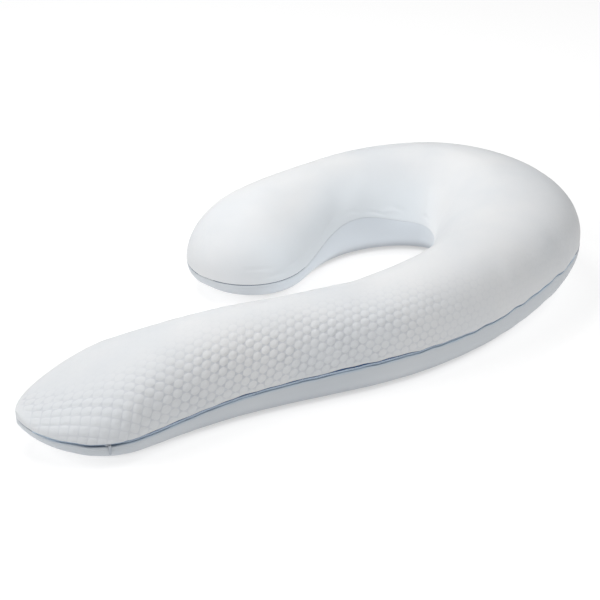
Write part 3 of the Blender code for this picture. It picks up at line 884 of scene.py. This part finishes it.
coil_finish = nylon_coil()
for name, way in (("coil_upper", 1), ("coil_lower", -1)):
    coil = tube_mesh(name, spring_rings(way))
    coil.data.shade_smooth()
    coil.data.materials.append(coil_finish)
    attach(coil, "root")
    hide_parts("zip_coil")

# --------------------------------------------------
# Seam thread. Spun polyester, slate blue, in short stitches. It joins the two panels round
# the outside past both zip ends and round the hook; further in, the inner seam hides it.
# --------------------------------------------------
STITCH = 0.0042            # length of one stitch
STITCH_THREAD = 0.00048    # radius
STITCH_POINTS = 6          # points of the thread in one stitch
STITCH_DIVE = 0.0006       # how deep it dives between stitches
STITCH_INSET = 0.0006      # how far it lies inside the outline
TIP_CLEAR = 0.0015         # it stops this far from a tip
HOOK_SEAM = 1.985          # distance along where the inner seam comes into sight


def stitched(side, start, end):
    """The thread in a seam: inset + dive |sin(pi run / stitch)|^6 inside the outline."""
    part = slice(*np.searchsorted(dense["along"], (start, end)))
    line, facing = dense["line"][side][part], dense["facing"][side][part]
    seam = seam_edges(dense, side)["seam"][part]
    run = np.r_[0, np.cumsum(np.linalg.norm(np.diff(line, axis=0), axis=1))]
    at = np.arange(0, run[-1], STITCH / STITCH_POINTS)
    inset = STITCH_INSET + STITCH_DIVE * np.abs(np.sin(math.pi * at / STITCH)) ** 6
    x, y, out_x, out_y, up = (np.interp(at, run, v) for v in (*line.T, *facing.T, seam))
    return np.c_[x - out_x * inset, y - out_y * inset, up]


def spun_thread():
    """Spun polyester sewing thread: matt, twisted, a little uneven in shade."""
    finish, tree, shader = new_finish("spun_thread")
    place = add(tree, "ShaderNodeTexCoord").outputs["Object"]
    uneven = add(tree, "ShaderNodeTexNoise",
                 {"Vector": place, "Scale": 90.0, "Detail": 2.0}).outputs["Fac"]
    shade = add(tree, "ShaderNodeMix", {"Factor": uneven, 6: linear("3A4C68"),
                                        7: linear("56688A")}, data_type="RGBA").outputs[2]
    tree.links.new(shade, shader.inputs["Base Color"])
    twist = add(tree, "ShaderNodeBump", {"Height": uneven, "Strength": 0.3, "Distance": 0.0002})
    tree.links.new(twist.outputs["Normal"], shader.inputs["Normal"])
    shader.inputs["Roughness"].default_value = 0.85
    return finish


thread_finish = spun_thread()
for name, side, start, end in (("thread_tail", 1, TIP_CLEAR, ZIP_START),
                               ("thread_bend", 1, ZIP_END, LENGTH - TIP_CLEAR),
                               ("thread_hook", -1, HOOK_SEAM, LENGTH - TIP_CLEAR)):
    line = stitched(side, start, end)
    thread = tube_mesh(name, thread_rings(line, 0 * line + (0, 0, 1), STITCH_THREAD))
    thread.data.shade_smooth()
    thread.data.materials.append(thread_finish)
    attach(thread, "root")
    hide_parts("pillow_body")

# --------------------------------------------------
# Slider and pull. Both are die-cast zinc, plated with nickel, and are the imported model's own
# solids. The slider is threaded on the coil, and the pull hangs on the slider's bridge.
# --------------------------------------------------


def plated_zinc():
    """Nickel plate on cast zinc: bright, with a fine tumbled roughness."""
    finish, tree, shader = new_finish("plated_zinc")
    place = add(tree, "ShaderNodeTexCoord").outputs["Object"]
    tumbled = add(tree, "ShaderNodeTexNoise",
                  {"Vector": place, "Scale": 900.0, "Detail": 2.0}).outputs["Fac"]
    rough = add(tree, "ShaderNodeMapRange", {"Value": tumbled, "To Min": 0.22, "To Max": 0.4})
    tree.links.new(rough.outputs["Result"], shader.inputs["Roughness"])
    worn = add(tree, "ShaderNodeBump", {"Height": tumbled, "Strength": 0.15, "Distance": 0.0001})
    tree.links.new(worn.outputs["Normal"], shader.inputs["Normal"])
    shader.inputs["Base Color"].default_value = linear("A4A9B0")
    shader.inputs["Metallic"].default_value = 1.0
    return finish


metal_finish = plated_zinc()
for name in ("zip_slider", "zip_pull"):
    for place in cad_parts[name].material_slots:
        place.material = metal_finish

# --------------------------------------------------
# Studio. A white floor with a painted glow, dimmed where the pillow covers it, which paints a
# contact shadow right under the edge. Four soft boxes: on the left, high on the right in front,
# high behind the hook, and a small one close above the hook.
# --------------------------------------------------
FLOOR_HALF = 14
FLOOR_UP = -0.0005
FLOOR_GREY = 0.30          # it throws little light back, because its own glow makes it white
SKY = (0.97, 0.985, 1.0)
SKY_STRENGTH = 0.04
BOX_SIZE = 0.5             # of its distance
# Each box's turn from +x and height in degrees, distance and strength.
SOFT_BOXES = ((178, 40, 8.0, 0.48), (302, 58, 8.0, 0.43), (102, 60, 3.2, 0.38),
              (152, 78, 1.0, 0.11))

floor_mesh = bpy.data.meshes.new("floor")
floor_mesh.from_pydata([(x * FLOOR_HALF, y * FLOOR_HALF, FLOOR_UP)
                        for x, y in ((-1, -1), (1, -1), (1, 1), (-1, 1))], [], [(0, 1, 2, 3)])
floor = placed("floor", floor_mesh)
floor_finish, floor_tree, floor_shader = new_finish("white_sweep")
floor_shader.inputs["Base Color"].default_value = (FLOOR_GREY, FLOOR_GREY, FLOOR_GREY, 1)
floor_shader.inputs["Roughness"].default_value = 0.9
floor_shader.inputs["Emission Color"].default_value = (1, 1, 1, 1)
covered = add(floor_tree, "ShaderNodeAmbientOcclusion", {"Distance": 0.013},
              samples=8).outputs["AO"]
glow = add(floor_tree, "ShaderNodeMapRange", {"Value": covered, "From Max": 0.80,
                                              "To Min": 0.42, "To Max": 0.77}).outputs["Result"]
floor_tree.links.new(glow, floor_shader.inputs["Emission Strength"])
floor_mesh.materials.append(floor_finish)

for turn, height, away, strength in SOFT_BOXES:
    turn, height = math.radians(turn), math.radians(height)
    box = placed("soft_box", bpy.data.lights.new("soft_box", "AREA"))
    box.data.shape = "DISK"
    box.data.size = BOX_SIZE * away
    box.data.energy = strength * (math.pi * away) ** 2
    box.location = away * Vector((math.cos(height) * math.cos(turn),
                                  math.cos(height) * math.sin(turn), math.sin(height)))
    box.rotation_euler = box.location.to_track_quat("Z", "Y").to_euler()

world = bpy.data.worlds.new("sky")
world.use_nodes = True
world.node_tree.nodes["Background"].inputs["Color"].default_value = (*SKY, 1)
world.node_tree.nodes["Background"].inputs["Strength"].default_value = SKY_STRENGTH
bpy.context.scene.world = world
bpy.context.scene.view_settings.view_transform = "Standard"
